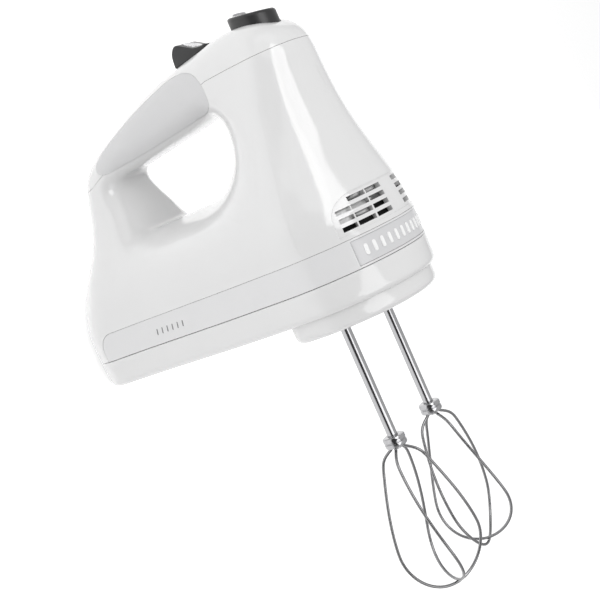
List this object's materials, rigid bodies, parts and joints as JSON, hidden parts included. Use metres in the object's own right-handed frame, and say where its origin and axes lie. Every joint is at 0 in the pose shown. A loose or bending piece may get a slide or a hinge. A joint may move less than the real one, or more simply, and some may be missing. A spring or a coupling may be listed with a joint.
{
  "type": "electric hand mixer",
  "caption": "Closed-handle electric hand mixer standing on its heel, with wire-loop beaters, a speed slide, a beater eject button and a worm-geared motor inside.",
  "frame": {"origin": "middle of the flat heel that the mixer stands on, on its plane of symmetry", "axes": "+X the way the beaters point (down in use), +Y to the user's left in use, +Z from the heel to the nose (forward in use); the mixer stands on its heel"},
  "size_m": [0.2921, 0.092, 0.19],
  "materials": {
    "white_abs": "moulded ABS with a high gloss",
    "white_trim": "moulded ABS, half gloss",
    "badge": "plain moulded plate",
    "grip": "pale grey soft-touch overmoulding, matt",
    "dark_mesh": "black moulded baffle",
    "charcoal": "dark grey moulding, satin",
    "bright": "bright metallised inlay",
    "nylon": "natural moulded nylon",
    "black_nylon": "glass-filled moulding",
    "steel": "turned or cold-headed",
    "stainless": "polished stainless bar and wire",
    "laminated": "stacked electrical sheet",
    "copper": "enamelled winding or turned segments",
    "bronze": "sintered, oil filled",
    "aluminium": "die cast and machined",
    "carbon": "pressed carbon",
    "rubber": "moulded, matt"
  },
  "bodies": {
    "housing": {"badge_plate": "badge", "base_housing": "white_abs", "base_screw_1": "steel", "base_screw_2": "steel", "base_screw_3": "steel", "base_screw_4": "steel", "bearing_front": "bronze", "bearing_middle": "bronze", "bearing_rear": "bronze", "brush_holder_left": "black_nylon", "brush_holder_right": "black_nylon", "brush_left": "carbon", "brush_right": "carbon", "cord_gland": "rubber", "detent_spring": "steel", "field_coil_lower": "copper", "field_coil_upper": "copper", "gear_bridge": "aluminium", "gear_frame": "aluminium", "grip_pad_left": "grip", "grip_pad_right": "grip", "handle_cover": "white_abs", "motor_bracket_front": "aluminium", "motor_bracket_rear": "aluminium", "slide_ramp": "charcoal", "spindle_bush_left": "bronze", "spindle_bush_right": "bronze", "stator_core": "laminated", "switch_body": "black_nylon", "top_bush_left": "bronze", "top_bush_right": "bronze", "trim_band": "white_trim", "upper_housing": "white_abs", "vent_screen": "dark_mesh"},
    "rotor": {"rotor_shaft": "steel", "armature_core": "laminated", "armature_winding_front": "copper", "armature_winding_rear": "copper", "commutator": "copper", "cooling_fan": "black_nylon"},
    "spindle_drive_left": {"worm_wheel_left": "nylon", "spindle_left": "steel"},
    "spindle_drive_right": {"worm_wheel_right": "nylon", "spindle_right": "steel"},
    "beater_left": {"beater_shaft_left": "stainless", "beater_collar_left": "stainless", "beater_wire_left_a": "stainless", "beater_wire_left_b": "stainless"},
    "beater_right": {"beater_shaft_right": "stainless", "beater_collar_right": "stainless", "beater_wire_right_a": "stainless", "beater_wire_right_b": "stainless"},
    "ejector": {"eject_button": "charcoal", "eject_pip": "bright", "eject_fork": "nylon", "eject_spring": "steel"},
    "speed_control": {"speed_slide": "charcoal", "slide_insert": "bright", "slide_carrier": "nylon"}
  },
  "joints": [
    {"name": "rotor_spin", "type": "hinge", "parent": "housing", "child": "rotor", "pos_m": [-0.005, 0, 0.148], "axis": [0, 0, 1], "continuous": true},
    {"name": "spindle_spin_left", "type": "hinge", "parent": "housing", "child": "spindle_drive_left", "pos_m": [-0.005, 0.021, 0.148], "axis": [-1, 0, 0], "continuous": true},
    {"name": "spindle_spin_right", "type": "hinge", "parent": "housing", "child": "spindle_drive_right", "pos_m": [-0.005, -0.021, 0.148], "axis": [-1, 0, 0], "continuous": true},
    {"name": "eject_press", "type": "slide", "parent": "housing", "child": "ejector", "axis": [1, 0, 0], "range_m": [0, 0.006], "stiffness_N_per_m": 600, "springref_m": -0.003},
    {"name": "beater_drop_left", "type": "slide", "parent": "spindle_drive_left", "child": "beater_left", "axis": [1, 0, 0], "range_m": [0, 0.006]},
    {"name": "beater_drop_right", "type": "slide", "parent": "spindle_drive_right", "child": "beater_right", "axis": [1, 0, 0], "range_m": [0, 0.006]},
    {"name": "speed_select", "type": "slide", "parent": "housing", "child": "speed_control", "axis": [-0.1162, 0, 0.9932], "range_m": [0, 0.012]}
  ],
  "couplings": [
    {"joint": "spindle_spin_left", "follows": "rotor_spin", "ratio": -0.041667},
    {"joint": "spindle_spin_right", "follows": "rotor_spin", "ratio": 0.041667},
    {"joint": "beater_drop_left", "follows": "eject_press", "ratio": 1},
    {"joint": "beater_drop_right", "follows": "eject_press", "ratio": 1}
  ]
}
